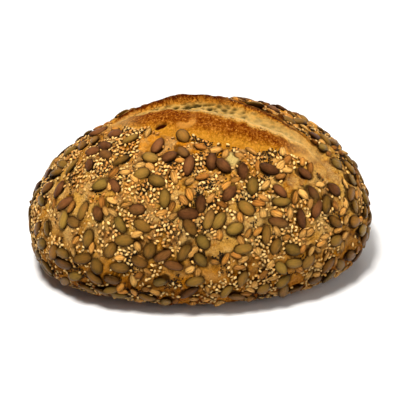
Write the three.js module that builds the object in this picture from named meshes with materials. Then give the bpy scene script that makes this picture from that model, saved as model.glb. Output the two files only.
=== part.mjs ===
// Seeded sourdough loaf, millimetres, +Z up.
// X runs along the loaf, -Y is its front, and the origin is the middle of the flat base.
// The loaf is one solid: a long dome with a baked-open slash, whose back lip stands up as an ear.
// The largest seeds stuck to the crust are small solids of their own.
import * as THREE from "three";
import { mergeVertices } from "three/addons/utils/BufferGeometryUtils.js";

// Loaf body
const LENGTH = 241;
const WIDTH = 159.5;
const CROWN_HEIGHT = 116.5; // top of the crust, without the ear
const BELT_HEIGHT = 36; // height of the widest line
const BASE_SINK = 13.5; // how far the underside would bulge below the table if it weren't flattened
const BASE_EDGE_RADIUS = 5; // rounding where the side turns into the flat base
const PLAN_FULLNESS = 0.83; // powers of the sine: below 1 is fuller than an ellipse, above 1 slimmer
const CROWN_FULLNESS = 1.15;
const UNDERSIDE_FULLNESS = 0.52;
const SHOULDER_POWER = 1.05;
const HAUNCH_POWER = 0.74;
const SIDE_POWER = 0.97;
const CROWN_LEAN = 0.07; // the +X end rises higher than the -X end
const LUMP_HEIGHT = 1.1; // slow swells of the crust

// Slash across the crown: it starts back left and ends front right
const CUT_START = -61;
const CUT_END = 97;
const CUT_WIDTH = 52.5; // front edge of the bare crust to the ear, at its widest
const CUT_SKEW = 0.6; // moves the widest place towards the start
const CUT_BLUNTNESS = 0.95;
const EAR_OFFSET = 21.6; // ear line: y = EAR_OFFSET - EAR_SLOPE x, curling forward beyond EAR_BEND
const EAR_SLOPE = 0.37;
const EAR_BEND = -21;
const EAR_CURL = 0.0116;
const EAR_FALL = 10; // and easing forward by this much from x = 0 to EAR_FALL_END
const EAR_FALL_END = 90;
const EAR_HEIGHT = 8.6;
const EAR_OVERHANG = 2.2;
const BLOOM_HEIGHT = 5; // bare crust that has swelled up out of the cut
const TEAR_DEPTH = 4; // torn crumb between the bloom and the ear
const BLOOM_PLACE = -0.62; // places and half-widths, as shares of the cut's width from the ear
const BLOOM_SPREAD = 0.24;
const TEAR_PLACE = -0.31;
const TEAR_SPREAD = 0.1;
const EAR_FRONT = 0.09;
const EAR_BACK = 0.24;
const CUT_NARROWEST = 0.35; // least share of the width that its humps shrink to at the ends
const CUT_MIDDLE = 14; // the mesh is finest this far in front of the ear line
const TOP_START = 0.35; // sine of the girth angle where the cut's relief begins
const TOP_FULL = 0.6; // and where it is full

// Mesh
const LENGTH_STEPS = 66;
const GIRTH_STEPS = 54;
const FINE_SHARE = 0.68; // 0 spaces the girth steps evenly, near 1 gathers them at the cut

// Seeds: [length, width, thickness]
const PUMPKIN_SIZE = [13.6, 8.1, 2.7];
const SUNFLOWER_SIZE = [9, 5, 2.6];
const PUMPKIN_TAPER = 0.2; // narrowing of the half towards the tip
const SUNFLOWER_TAPER = 0.45;
const PUMPKIN_COUNT = 42;
const SUNFLOWER_COUNT = 16;
const SEED_GAP = 0.35; // clearance between a seed and the crust
const SEED_SPACING = 17;
const SEED_LOWEST = 12; // no seeds this near the base
const SEED_STEEPEST = -0.6; // no seeds where the crust faces further down than this
const BARE_FRONT = -1.2; // no seeds from here to BARE_BACK across the cut
const BARE_BACK = 0.75;
const BARE_MARGIN = 8; // nor this far beyond its ends
const SEED_REACH = 0.98; // share of the half-length that the spread of seeds reaches
const TIP_ANGLE = 0.05; // length angle of the seed on each tip
const TURN_STEP = 2.4; // turn from one seed to the next, radians

const crustMaterial = new THREE.MeshStandardMaterial({ color: 0xb07a38, roughness: 0.75, metalness: 0 });
const pumpkinMaterial = new THREE.MeshStandardMaterial({ color: 0x6f5524, roughness: 0.45, metalness: 0 });
const sunflowerMaterial = new THREE.MeshStandardMaterial({ color: 0xc4935a, roughness: 0.6, metalness: 0 });

const clamp01 = (value) => Math.min(Math.max(value, 0), 1);
const hump = (value, centre, spread) => Math.exp(-(((value - centre) / spread) ** 2));
const signedPower = (value, power) => Math.sign(value) * Math.abs(value) ** power;

// Share of its full width that the cut has at x: a sine over the cut's length, skewed and blunted
function cutShare(x) {
  const along = clamp01((x - CUT_START) / (CUT_END - CUT_START));
  return Math.max(Math.sin(Math.PI * along ** CUT_SKEW), 0) ** CUT_BLUNTNESS;
}

function earLine(x) {
  const beyond = Math.max(EAR_BEND - x, 0);
  const fall = EAR_FALL * THREE.MathUtils.smoothstep(x, 0, EAR_FALL_END);
  return EAR_OFFSET - EAR_SLOPE * x - EAR_CURL * beyond ** 2 - fall;
}

// Distance behind the ear line as a share of the cut's local width: -1 is the cut's front edge
function acrossCut(x, y) {
  return (y - earLine(x)) / (CUT_WIDTH * Math.max(cutShare(x), CUT_NARROWEST));
}

// Side of the loaf eased onto the table: below the edge radius z follows a parabola down to 0
function flattened(z) {
  if (z > BASE_EDGE_RADIUS) return z;
  return Math.max(z + BASE_EDGE_RADIUS, 0) ** 2 / (4 * BASE_EDGE_RADIUS);
}

// Point of the crust: lengthAngle runs 0 to pi from the -X end, girthAngle is 0 at +Y and 90 degrees on top
function crustPoint(lengthAngle, girthAngle) {
  const end = -Math.cos(lengthAngle);
  const swell = Math.max(Math.sin(lengthAngle), 0);
  const rise = Math.sin(girthAngle);
  const lump = LUMP_HEIGHT * Math.sin(3 * lengthAngle + 1) * Math.sin(2 * girthAngle + 0.6) * swell;
  const x = (LENGTH / 2) * end;
  const sideways = signedPower(Math.cos(girthAngle), SIDE_POWER);
  let y = (WIDTH / 2) * swell ** PLAN_FULLNESS * sideways + lump * sideways;
  let z = BELT_HEIGHT;
  if (rise > 0) {
    const crown = (CROWN_HEIGHT - BELT_HEIGHT) * swell ** CROWN_FULLNESS * (1 + CROWN_LEAN * end);
    z += (crown + lump) * rise ** SHOULDER_POWER;
    const share = cutShare(x);
    const across = acrossCut(x, y);
    const onTop = share * clamp01((rise - TOP_START) / (TOP_FULL - TOP_START));
    const ear = hump(across, 0, across < 0 ? EAR_FRONT : EAR_BACK);
    z += onTop * EAR_HEIGHT * ear;
    z += onTop * BLOOM_HEIGHT * hump(across, BLOOM_PLACE, BLOOM_SPREAD);
    z -= onTop * TEAR_DEPTH * hump(across, TEAR_PLACE, TEAR_SPREAD);
    y -= onTop * EAR_OVERHANG * ear;
  } else {
    z -= (BELT_HEIGHT + BASE_SINK) * swell ** UNDERSIDE_FULLNESS * (-rise) ** HAUNCH_POWER;
  }
  return new THREE.Vector3(x, y, flattened(z));
}

// Girth angle at which the middle of the cut crosses the crown, kept on the crown beyond the cut's ends
function cutAngle(lengthAngle) {
  const leastWidth = 0.4;
  const farthest = 0.5;
  const swell = Math.max(Math.sin(lengthAngle), 0);
  const halfWidth = (WIDTH / 2) * Math.max(swell ** PLAN_FULLNESS, leastWidth);
  const middle = earLine((-LENGTH / 2) * Math.cos(lengthAngle)) - CUT_MIDDLE;
  return Math.acos(Math.min(Math.max(middle / halfWidth, -farthest), farthest));
}

function makeLoaf() {
  const geometry = new THREE.SphereGeometry(1, GIRTH_STEPS, LENGTH_STEPS);
  const { position, uv } = geometry.attributes;
  for (let i = 0; i < position.count; i++) {
    const lengthAngle = Math.PI * (1 - uv.getY(i));
    const turn = uv.getX(i) - 0.5;
    const eased = 2 * Math.PI * turn - FINE_SHARE * Math.sin(2 * Math.PI * turn);
    const point = crustPoint(lengthAngle, cutAngle(lengthAngle) - eased);
    position.setXYZ(i, point.x, point.y, point.z);
  }
  return closedGeometry(geometry);
}

// Doubled seam and pole vertices become one, so that the surface closes
function closedGeometry(geometry) {
  geometry.deleteAttribute("uv");
  geometry.deleteAttribute("normal");
  const closed = mergeVertices(geometry, 1e-3);
  closed.computeVertexNormals();
  return closed;
}

// Flat almond: a sphere pulled out to a tip at +X, domed on top and nearly flat below, resting on z = 0
function makeSeed([length, width, thickness], taper) {
  const flatShare = 0.35;
  const geometry = new THREE.SphereGeometry(1, 8, 6);
  geometry.rotateZ(-Math.PI / 2);
  const { position } = geometry.attributes;
  for (let i = 0; i < position.count; i++) {
    const x = position.getX(i);
    const narrowing = 1 - taper * clamp01(x) ** 2;
    const dome = position.getZ(i);
    const height = dome > 0 ? dome : dome * flatShare;
    const y = (position.getY(i) * width * narrowing) / 2;
    position.setXYZ(i, (x * length) / 2, y, ((height + flatShare) * thickness) / (1 + flatShare));
  }
  return closedGeometry(geometry);
}

// Turned frame of the crust at a place: Z outward, X along the loaf's length
function crustFrame(lengthAngle, girthAngle) {
  const step = 0.02;
  const origin = crustPoint(lengthAngle, girthAngle);
  const along = crustPoint(lengthAngle + step, girthAngle).sub(crustPoint(lengthAngle - step, girthAngle));
  const around = crustPoint(lengthAngle, girthAngle + step).sub(crustPoint(lengthAngle, girthAngle - step));
  const outward = new THREE.Vector3().crossVectors(around, along).normalize();
  if (outward.dot(new THREE.Vector3(0, Math.cos(girthAngle), Math.sin(girthAngle))) < 0) outward.negate();
  along.normalize();
  const third = new THREE.Vector3().crossVectors(outward, along).normalize();
  const turn = new THREE.Matrix4().makeBasis(along, third, outward);
  return { origin, outward, turn };
}

// The cut and the strip behind its ear carry no seeds
function isBare({ x, y }) {
  const across = acrossCut(x, y);
  const alongCut = x > CUT_START - BARE_MARGIN && x < CUT_END + BARE_MARGIN;
  return alongCut && across > BARE_FRONT && across < BARE_BACK;
}

// Places for seeds: one on each tip, and the rest spread evenly over the seeded crust
// by an additive sequence with irrational steps
function seedPlaces(count) {
  const lengthStride = 0.7548776662;
  const girthStride = 0.5698402910;
  const places = [crustFrame(TIP_ANGLE, Math.PI / 2), crustFrame(Math.PI - TIP_ANGLE, Math.PI / 2)];
  for (let k = 1; places.length < count; k++) {
    const end = SEED_REACH * (2 * ((k * lengthStride) % 1) - 1);
    const lengthAngle = Math.acos(-end);
    const girthAngle = 2 * Math.PI * ((k * girthStride) % 1);
    const frame = crustFrame(lengthAngle, girthAngle);
    const crowded = places.some((place) => place.origin.distanceTo(frame.origin) < SEED_SPACING);
    const low = frame.origin.z < SEED_LOWEST || frame.outward.z < SEED_STEEPEST;
    const bare = Math.sin(girthAngle) > 0 && isBare(frame.origin);
    if (!low && !bare && !crowded) places.push(frame);
  }
  return places;
}

function placeSeed(mesh, place, turnAngle) {
  mesh.position.copy(place.origin).addScaledVector(place.outward, SEED_GAP);
  const turned = place.turn.clone().multiply(new THREE.Matrix4().makeRotationZ(turnAngle));
  mesh.quaternion.setFromRotationMatrix(turned);
}

function makeSeeds() {
  const pumpkinGeometry = makeSeed(PUMPKIN_SIZE, PUMPKIN_TAPER);
  const sunflowerGeometry = makeSeed(SUNFLOWER_SIZE, SUNFLOWER_TAPER);
  const group = new THREE.Group();
  const places = seedPlaces(PUMPKIN_COUNT + SUNFLOWER_COUNT);
  const kernelEvery = (PUMPKIN_COUNT + SUNFLOWER_COUNT) / SUNFLOWER_COUNT;
  let kernels = 0;
  places.forEach((place, i) => {
    const isKernel = i >= (kernels + 0.5) * kernelEvery;
    if (isKernel) kernels += 1;
    const number = String(isKernel ? kernels : i + 1 - kernels).padStart(2, "0");
    const mesh = isKernel
      ? new THREE.Mesh(sunflowerGeometry, sunflowerMaterial)
      : new THREE.Mesh(pumpkinGeometry, pumpkinMaterial);
    mesh.name = `${isKernel ? "sunflower_kernel" : "pumpkin_seed"}_${number}`;
    placeSeed(mesh, place, i * TURN_STEP);
    group.add(mesh);
  });
  return group;
}

const bread = new THREE.Group();
const loaf = new THREE.Mesh(makeLoaf(), crustMaterial);
loaf.name = "loaf";
bread.add(loaf, makeSeeds());

export default bread;
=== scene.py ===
import bpy
import numpy as np
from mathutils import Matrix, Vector


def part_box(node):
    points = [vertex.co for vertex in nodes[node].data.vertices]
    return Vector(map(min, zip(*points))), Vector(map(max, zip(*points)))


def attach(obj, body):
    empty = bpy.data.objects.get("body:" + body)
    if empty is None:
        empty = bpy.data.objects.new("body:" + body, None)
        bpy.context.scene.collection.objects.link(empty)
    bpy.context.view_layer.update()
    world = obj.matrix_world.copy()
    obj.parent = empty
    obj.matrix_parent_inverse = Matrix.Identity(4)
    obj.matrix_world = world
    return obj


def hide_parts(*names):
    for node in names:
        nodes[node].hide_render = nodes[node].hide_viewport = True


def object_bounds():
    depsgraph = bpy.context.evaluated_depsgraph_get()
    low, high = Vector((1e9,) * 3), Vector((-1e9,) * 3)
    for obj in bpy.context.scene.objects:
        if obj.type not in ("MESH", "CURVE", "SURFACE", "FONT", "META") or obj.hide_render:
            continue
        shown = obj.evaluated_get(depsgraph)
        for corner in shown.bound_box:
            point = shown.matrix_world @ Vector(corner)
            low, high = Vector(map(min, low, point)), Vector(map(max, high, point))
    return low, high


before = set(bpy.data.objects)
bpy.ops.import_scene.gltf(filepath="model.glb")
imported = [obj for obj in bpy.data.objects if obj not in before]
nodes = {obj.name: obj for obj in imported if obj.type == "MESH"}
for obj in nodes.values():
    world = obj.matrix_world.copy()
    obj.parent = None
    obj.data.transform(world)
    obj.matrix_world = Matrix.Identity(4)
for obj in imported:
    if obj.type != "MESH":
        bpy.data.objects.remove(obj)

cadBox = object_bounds()
loafLow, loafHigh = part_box("loaf")

# the loaf's form: the frame's formula, in metres, with finer baking detail on top
loafForm = {
    "halfLength": (loafHigh.x - loafLow.x) / 2,
    "halfWidth": 0.07975,
    "crownHeight": 0.1165,
    "beltHeight": 0.036,
    "baseSink": 0.0135,
    "baseEdgeRadius": 0.005,
    "planFullness": 0.83,
    "crownFullness": 1.15,
    "undersideFullness": 0.52,
    "shoulderPower": 1.05,
    "haunchPower": 0.74,
    "sidePower": 0.97,
    "crownLean": 0.07,
    "lumpHeight": 0.0011,
    "lengthSteps": 300,
    "girthSteps": 322,
    "fineLengthShare": 0.15,  # gathers the length steps at the middle
    "fineGirthShare": 0.6,    # gathers the girth steps at the cut
    "doughLift": 0.0011,      # dough that rises among the seeds, half of it everywhere
    "collarLift": 0.9,        # share of it that a collar adds round each large seed
    "collarPlace": 1.28,      # just outside the seed's outline, which is 1
    "collarSpread": 0.26,
    "seedShadowEdge": (0.98, 1.18),          # where the painted shade round a large seed fades out
    "smallSeedShadeEdge": (0.45, 0.85),         # and round a small one, in its lengths
    "footEdge": (0.0015, 0.008),        # heights between which the relief sets in
    "wrinkleHeight": 0.0012,
    # layers of noise: share, size, scale of x and seed
    "wrinkles": [(1, 0.009, 1, 21), (0.6, 0.0037, 1, 22), (0.4, 0.0018, 1, 23)],
}

slash = {
    "start": -0.061,
    "end": 0.097,
    "width": 0.0525,
    "skew": 0.60,
    "bluntness": 0.95,
    "earOffset": 0.0216,
    "earSlope": 0.37,
    "earBend": -0.021,
    "earCurl": 11.6,          # per metre
    "earFall": 0.010,
    "earFallEnd": 0.090,
    "earHeight": 0.0086,
    "earOverhang": 0.0022,
    "bloomHeight": 0.0050,
    "tearDepth": 0.0040,
    "bloomPlace": -0.62,
    "bloomSpread": 0.24,
    "tearPlace": -0.31,
    "tearSpread": 0.10,
    "earFront": 0.09,
    "earBack": 0.24,
    "narrowest": 0.35,        # least share of the width that the humps shrink to at the ends
    "middle": 0.014,          # how far before the ear line the crust's girth steps gather
    "topStart": 0.35,         # sine of the girth angle where the cut's relief begins, and is full
    "topFull": 0.60,
    "bareBack": 0.34,         # strip behind the ear without large seeds, where the ear stands highest
    "bareBackSmall": 0.272,   # the same for the small seeds
    "bareBackLeast": 0.15,    # and for both, away from there
    "bareBackStart": -0.022,
    "bareBackEnd": 0.020,
    "bareBackFade": 0.012,
    "earRaggedness": 0.0018,
    "earWaver": [(1, 0.011, 1, 5), (0.7, 0.0042, 1, 6)],
    "crestNotch": 0.16,       # how much of the ear's height its notches take away
    "crestNotches": [(1, 0.014, 1, 7), (0.8, 0.0055, 1, 8)],
    "tornStart": 0.140,       # half-width of the torn crumb at the cut's start and end, as shares
    "tornEnd": 0.290,
    "poreDepth": 0.0016,
    "poreSize": 0.0030,
    "poreReach": 0.66,
    "poreLengthScale": 0.6,   # scale of x in the pores' pattern, which draws them out along it
    "finePoreSize": 0.00135,
    "finePoreReach": 0.6,
    "openness": 1.25,         # of the pores, less what the +X end and the lip take away
    "endTightness": 0.75,
    "lipTightness": 0.5,
    "endTightens": (0.0, 0.045),        # along x
    "lipTightens": (0.50, 0.57),        # in the colour bands
    "frontEdge": (-1.12, -0.96),        # where the bare cut begins and ends, across it
    "backEdge": (0.02, 0.22),
    "tornFrom": (0.46, 0.52),           # and the torn crumb, in the colour bands
    "tornTo": (0.67, 0.74),
    "stretchHeight": 0.0004,
    "stretchMarks": [(1, 0.0030, 0.22, 41), (0.6, 0.0014, 0.3, 42), (1.4, 0.006, 1, 43)],
    "paleFar": (0.050, 0.080),          # where the skin pales towards the cut's +X and -X ends
    "paleNear": (-0.056, -0.036),
    "paleNearShare": 0.6,
}

# places of the cut's edges in its colour bands: the torn crumb's two edges and the ear's crest
bandLip, bandFace, bandCrest = 0.5, 0.7, 0.9

# single spots of the crust: place from above, radius, height and stretch along x and y; each fades
# between two shares of its radius
spotEdge = (0.55, 1.15)
domeBlister = {
    "place": (-0.0103, -0.0138), "radius": 0.0060, "height": 0.0014, "stretch": (1.1, 0.8),
    "rimShift": 0.0016,       # moved back so far, the blister leaves its front rim as a pale crescent
    "rimGain": 2.2,
    "rimShare": 1.4,
}
tornHole = {"place": (-0.0280, -0.0108), "radius": 0.0030, "height": -0.0032, "stretch": (1.5, 0.7)}
flouryBlister = {"place": (0.0182, -0.0424), "radius": 0.0052, "height": 0.0012, "stretch": (1.1, 1)}
orangePatch = {"place": (-0.0359, -0.0248), "radius": 0.0085, "stretch": (1.3, 0.7)}

# blisters scattered over the crust, in patches
crustBlisters = {"spacing": 0.017, "reach": 0.55, "patch": 0.03, "from": 0.0, "to": 0.5, "height": 0.0026}
bloomBlisters = {"spacing": 0.011, "reach": 0.42, "patch": 0.02, "from": -0.1, "to": 0.4, "height": 0.0016}


def hump(value, centre, spread):
    # bell curve: e to minus the square of the distance, in spreads
    return np.exp(-(((value - centre) / spread) ** 2))


def ramp(value, low, high):
    # smooth step from 0 at low to 1 at high
    t = np.clip((value - low) / (high - low), 0, 1)
    return t * t * (3 - 2 * t)


def signedPower(value, power):
    # a power of the size that keeps the sign
    return np.sign(value) * np.abs(value) ** power


def latticeHash(i, j, k, seed):
    # a repeatable number from 0 to 1 for each lattice point: integers mixed by large odd factors
    h = (i * 374761393 + j * 668265263 + k * 2147483647 + seed * 1274126177) & 0xFFFFFFFF
    h = ((h ^ (h >> 13)) * 1103515245) & 0xFFFFFFFF
    h = ((h ^ (h >> 16)) * 2654435761) & 0xFFFFFFFF
    return ((h ^ (h >> 15)) & 0xFFFFFF) / 0xFFFFFF


def smoothNoise(points, size, seed):
    # value noise from -1 to 1: lattice numbers blended by smooth steps along the three axes
    p = points / size
    base = np.floor(p).astype(np.int64)
    f = p - base
    f = f * f * (3 - 2 * f)
    total = 0
    for dx in (0, 1):
        for dy in (0, 1):
            for dz in (0, 1):
                corner = latticeHash(base[..., 0] + dx, base[..., 1] + dy, base[..., 2] + dz, seed)
                wx = f[..., 0] if dx else 1 - f[..., 0]
                wy = f[..., 1] if dy else 1 - f[..., 1]
                wz = f[..., 2] if dz else 1 - f[..., 2]
                total = total + corner * wx * wy * wz
    return total * 2 - 1


def layeredNoise(points, layers):
    # noises added together: a layer is its share, its size, the scale of x in it and its seed
    total = 0
    for share, size, lengthScale, seed in layers:
        total = total + share * smoothNoise(points * (lengthScale, 1, 1), size, seed)
    return total


def cellDistance(points, size, seed):
    # distance to the nearest of one random point in each lattice cell, in cell sizes
    p = points / size
    base = np.floor(p).astype(np.int64)
    nearest = np.full(p.shape[:-1], 9.0)
    for dx in (-1, 0, 1):
        for dy in (-1, 0, 1):
            for dz in (-1, 0, 1):
                cell = base + (dx, dy, dz)
                i, j, k = cell[..., 0], cell[..., 1], cell[..., 2]
                spot = np.stack([latticeHash(i, j, k, seed + n) for n in range(3)], -1)
                nearest = np.minimum(nearest, np.linalg.norm(cell + spot - p, axis=-1))
    return nearest


def cells(points, size, reach, seed):
    # cones round the random points: reach less the distance, never below 0
    return np.clip(reach - cellDistance(points, size, seed), 0, 1)


def blisters(points, kind, seed):
    # cones that only stand where a slow noise is high
    patches = ramp(smoothNoise(points, kind["patch"], seed + 1), kind["from"], kind["to"])
    return cells(points, kind["spacing"], kind["reach"], seed) * patches


def alongCut(x):
    # 0 at the cut's -X end to 1 at its +X end
    return np.clip((x - slash["start"]) / (slash["end"] - slash["start"]), 0, 1)


def cutShare(x):
    # share of the cut's full width at x: a sine over its length, skewed and blunted
    return np.maximum(np.sin(np.pi * alongCut(x) ** slash["skew"]), 0) ** slash["bluntness"]


def earLine(x):
    # y of the ear: a sloping line, curled to the front by a square before its bend and eased to the
    # front past the middle
    beyond = np.maximum(slash["earBend"] - x, 0)
    fall = slash["earFall"] * ramp(x, 0, slash["earFallEnd"])
    return slash["earOffset"] - slash["earSlope"] * x - slash["earCurl"] * beyond ** 2 - fall


def acrossCut(x, y):
    # distance behind the ear line as a share of the local width: -1 is the cut's front edge
    return (y - earLine(x)) / (slash["width"] * np.maximum(cutShare(x), slash["narrowest"]))


def crustSurface(lengthAngle, girthAngle, baked=True):
    # powers of sine along the length and round the girth give the dome, humps across the cut give
    # the bloom, the tear and the ear, and the underside is eased flat onto z = 0
    form = loafForm
    end = -np.cos(lengthAngle)
    swell = np.maximum(np.sin(lengthAngle), 0)
    rise = np.sin(girthAngle)
    up, down = np.maximum(rise, 0), np.maximum(-rise, 0)
    lump = form["lumpHeight"] * np.sin(3 * lengthAngle + 1) * np.sin(2 * girthAngle + 0.6) * swell
    x = form["halfLength"] * end
    sideways = signedPower(np.cos(girthAngle), form["sidePower"])
    y = form["halfWidth"] * swell ** form["planFullness"] * sideways + lump * sideways
    crown = (form["crownHeight"] - form["beltHeight"]) * swell ** form["crownFullness"]
    crown = crown * (1 + form["crownLean"] * end)
    z = form["beltHeight"] + (crown + lump) * up ** form["shoulderPower"]
    belly = (form["beltHeight"] + form["baseSink"]) * swell ** form["undersideFullness"]
    z = z - belly * down ** form["haunchPower"]

    earHeight = slash["earHeight"]
    across = acrossCut(x, y)
    if baked:
        lengthOnly = np.stack([x, 0 * x, 0 * x], -1)
        across = acrossCut(x, y + slash["earRaggedness"] * layeredNoise(lengthOnly, slash["earWaver"]))
        notches = np.clip(0.5 + 0.5 * layeredNoise(lengthOnly, slash["crestNotches"]), 0, 1)
        earHeight = earHeight * (1 - slash["crestNotch"] * notches)
    rising = (rise - slash["topStart"]) / (slash["topFull"] - slash["topStart"])
    onTop = cutShare(x) * np.clip(rising, 0, 1)
    ear = hump(across, 0, np.where(across < 0, slash["earFront"], slash["earBack"]))
    tear = hump(across, slash["tearPlace"], slash["tearSpread"])
    z = z + onTop * earHeight * ear
    z = z + onTop * slash["bloomHeight"] * hump(across, slash["bloomPlace"], slash["bloomSpread"])
    z = z - onTop * slash["tearDepth"] * tear
    y = y - onTop * slash["earOverhang"] * ear
    r = form["baseEdgeRadius"]
    z = np.where(z > r, z, np.maximum(z + r, 0) ** 2 / (4 * r))
    return np.stack([x, y, z], -1), across, onTop


def cutBand(x, across):
    # place in the cut's colour bands, linear between its edges: 0 at the front edge, then over the torn
    # crumb, up the ear's face to its crest, and 1 a little way behind it
    half = slash["tornStart"] + (slash["tornEnd"] - slash["tornStart"]) * alongCut(x)
    lip, far = slash["tearPlace"] - half, slash["tearPlace"] + half
    front = bandLip * (across + 1) / (lip + 1)
    torn = bandLip + (bandFace - bandLip) * (across - lip) / (2 * half)
    face = bandFace + (bandCrest - bandFace) * (across - far) / -far
    behind = bandCrest + 0.5 * across
    band = np.where(across < lip, front, np.where(across < far, torn, np.where(across < 0, face, behind)))
    return np.clip(band, 0, 1)


def spotShare(points, spot, stretched=True):
    # 1 at the middle of a spot, fading to 0 past its radius, on the crown only
    stretch = spot["stretch"] if stretched else (1, 1)
    offset = (points[..., :2] - spot["place"]) / spot["radius"] / stretch
    onCrown = points[..., 2] > loafForm["beltHeight"]
    return (1 - ramp(np.linalg.norm(offset, axis=-1), *spotEdge)) * onCrown


def surfaceFrame(lengthAngle, girthAngle):
    # place, outward normal, lengthwise tangent and place across the cut of the plain crust, by small
    # steps both ways
    step = 0.02
    here, across = crustSurface(lengthAngle, girthAngle, baked=False)[:2]
    ahead = crustSurface(lengthAngle + step, girthAngle, baked=False)[0]
    behind = crustSurface(lengthAngle - step, girthAngle, baked=False)[0]
    left = crustSurface(lengthAngle, girthAngle + step, baked=False)[0]
    right = crustSurface(lengthAngle, girthAngle - step, baked=False)[0]
    along = ahead - behind
    along /= np.linalg.norm(along, axis=-1, keepdims=True)
    normal = np.cross(along, left - right)
    normal /= np.linalg.norm(normal, axis=-1, keepdims=True)
    outward = np.stack([0 * girthAngle, np.cos(girthAngle), np.sin(girthAngle)], -1)
    normal *= np.sign((normal * outward).sum(-1, keepdims=True))
    return here, normal, along, across


# seeds: sizes are length, width and thickness
pumpkinSeeds = {
    "size": (0.0136, 0.0081, 0.0027),
    "vary": 0.13,
    "count": 262,
    "closeness": 0.80,        # 1 keeps the outlines clear of each other, less lets them overlap
    "tilt": 0.25,
    "dome": 1.45,             # height of the upper side against the frame's seeds
    "sharpness": 0.30,
    "bluntness": 0.92,        # below 1 the outline is fuller than an ellipse
    "bend": 0.3,
    "steps": (9, 10),
    "lean": -0.15,            # 1 gathers the kind towards the loaf's +X end, 0 spreads it evenly
    # paints and their shares: crownBrowning is how much more the seeds brown high on the crown
    "raw": "#877138", "toasted": "#7e5a2a", "scorched": "#66422a", "rim": "#240e00",
    # the rim darkens each seed's edge: partly its own darker margin, partly painted shade
    "rimAndShadeWidth": 0.72, "rimAndShadeStrength": 1.0, "streaks": 0.22, "crownBrowning": 0.45,
    "grainsPerMetre": 1500.0, "bump": 0.45, "roughness": 0.26, "specular": 0.13,
}

sunflowerKernels = {
    "size": (0.0090, 0.0050, 0.0026),
    "vary": 0.14,
    "count": 340,
    "closeness": 0.68,
    "tilt": 0.36,
    "dome": 1.0,
    "sharpness": 0.42,
    "bluntness": 0.90,
    "bend": 0.3,
    "steps": (8, 10),
    "lean": 0.7,
    "raw": "#e0b670", "toasted": "#c68c42", "scorched": "#a06c34", "rim": "#3c1a00",
    "rimAndShadeWidth": 0.60, "rimAndShadeStrength": 0.9, "streaks": 0.65, "crownBrowning": 0.2,
    "grainsPerMetre": 900.0, "bump": 0.6, "roughness": 0.42, "specular": 0.09,
}

sesameSeeds = {
    "size": (0.0031, 0.0021, 0.0014),
    "vary": 0.14,
    "count": 2600,
    "choice": 12,             # places drawn for each seed
    "sink": 0.15,             # share of the thickness that sits in the dough
    "tilt": 0.40,
    "dome": 1.0,
    "sharpness": 0.50,
    "bluntness": 0.90,
    "bend": 0.0,
    "steps": (5, 6),
    "clusterSize": 0.014,
    "clusterGrip": 5.4,       # how strongly the seeds gather in clusters
    "clusterCap": 0.45,       # where the gathering stops growing, so that no cluster takes them all
    "nearCut": 2.6,           # and how much thicker they lie high up beside the cut
    "raw": "#e8cf98", "toasted": "#dfb670", "scorched": "#ba874a", "rim": "#5c2c02",
    "rimAndShadeWidth": 0.60, "rimAndShadeStrength": 0.9, "streaks": 0.0, "crownBrowning": 0.35,
    "grainsPerMetre": 2500.0, "bump": 0.3, "roughness": 0.32, "specular": 0.18,
}

poppySeeds = {
    "size": (0.0014, 0.0012, 0.0011),
    "vary": 0.15,
    "count": 3000,
    "choice": 16,
    "sink": 0.10,
    "tilt": 0.5,
    "dome": 1.0,
    "sharpness": 0.0,
    "bluntness": 1.0,
    "bend": 0.0,
    "steps": (4, 5),
    "clusterSize": 0.0100,
    "clusterGrip": 9.0,
    "clusterCap": 0.66,
    "nearCut": 1.8,
    "raw": "#2b2725", "toasted": "#1b1716", "scorched": "#33261a", "rim": "#0f0c0b",
    "rimAndShadeWidth": 0.30, "rimAndShadeStrength": 0.4, "streaks": 0.0, "crownBrowning": 0.0,
    "grainsPerMetre": 3000.0, "bump": 0.5, "roughness": 0.5, "specular": 0.15,
}

scattering = {
    "gap": 0.00035,           # the frame's clearance under a seed
    "lowest": 0.0095,         # no seed's foot lies lower
    "overhang": -0.75,        # nor where the crust's normal points further down
    "heartHeight": 0.045,     # a seed's upper side faces away from a point at this height and at this
    "heartReach": 0.6,        # share of its x
    "lengthReach": 0.9995,    # cosine of the length angle where the ends are left out
    "spareDraws": 4,          # draws for each place that is asked for
    "largeChoice": 30,        # places drawn for each large seed
    "areaCap": 0.97,          # quantile of the drawn areas that counts as the largest
    "edgeWaver": 0.10,        # how far seeds cross the cut's front edge, and the size of the waver
    "edgeWaverSize": 0.012,
    "discShare": 0.92,        # radius of a seed's outline discs against its half-width
    "leanFrom": -0.09,
    "leanTo": 0.07,
    "highFrom": 0.075,        # heights between which small seeds lie thicker beside the cut
    "highTo": 0.105,
    "clearOfLarge": 0.15,     # least gaps of the small seeds, in their lengths
    "clearOfSmall": 0.64,
}


def frameSeeds(prefix):
    # centre, axes and size of each seed that the frame already holds, from its mesh's own spread
    found = {"centre": [], "axes": [], "size": []}
    for name in sorted(n for n in nodes if n.startswith(prefix)):
        mesh = nodes[name].data
        flat = np.empty(len(mesh.vertices) * 3, np.float32)
        mesh.vertices.foreach_get("co", flat)
        points = flat.reshape(-1, 3).astype(float)
        middle = (points.max(0) + points.min(0)) / 2
        heart = np.array([middle[0] * scattering["heartReach"], 0, scattering["heartHeight"]])
        axes = np.linalg.svd(points - points.mean(0), full_matrices=False)[2]
        if axes[2] @ (middle - heart) < 0:
            axes[2] = -axes[2]
        local = (points - points.mean(0)) @ axes.T
        widths = np.abs(local[:, 1])
        if widths[local[:, 0] > 0].mean() > widths[local[:, 0] < 0].mean():
            axes[0] = -axes[0]
        axes[1] = np.cross(axes[2], axes[0])
        local = (points - points.mean(0)) @ axes.T
        found["centre"].append(points.mean(0) + ((local.max(0) + local.min(0)) / 2) @ axes)
        found["axes"].append(axes)
        found["size"].append(local.max(0) - local.min(0))
    return {key: np.array(value) for key, value in found.items()}


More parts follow.
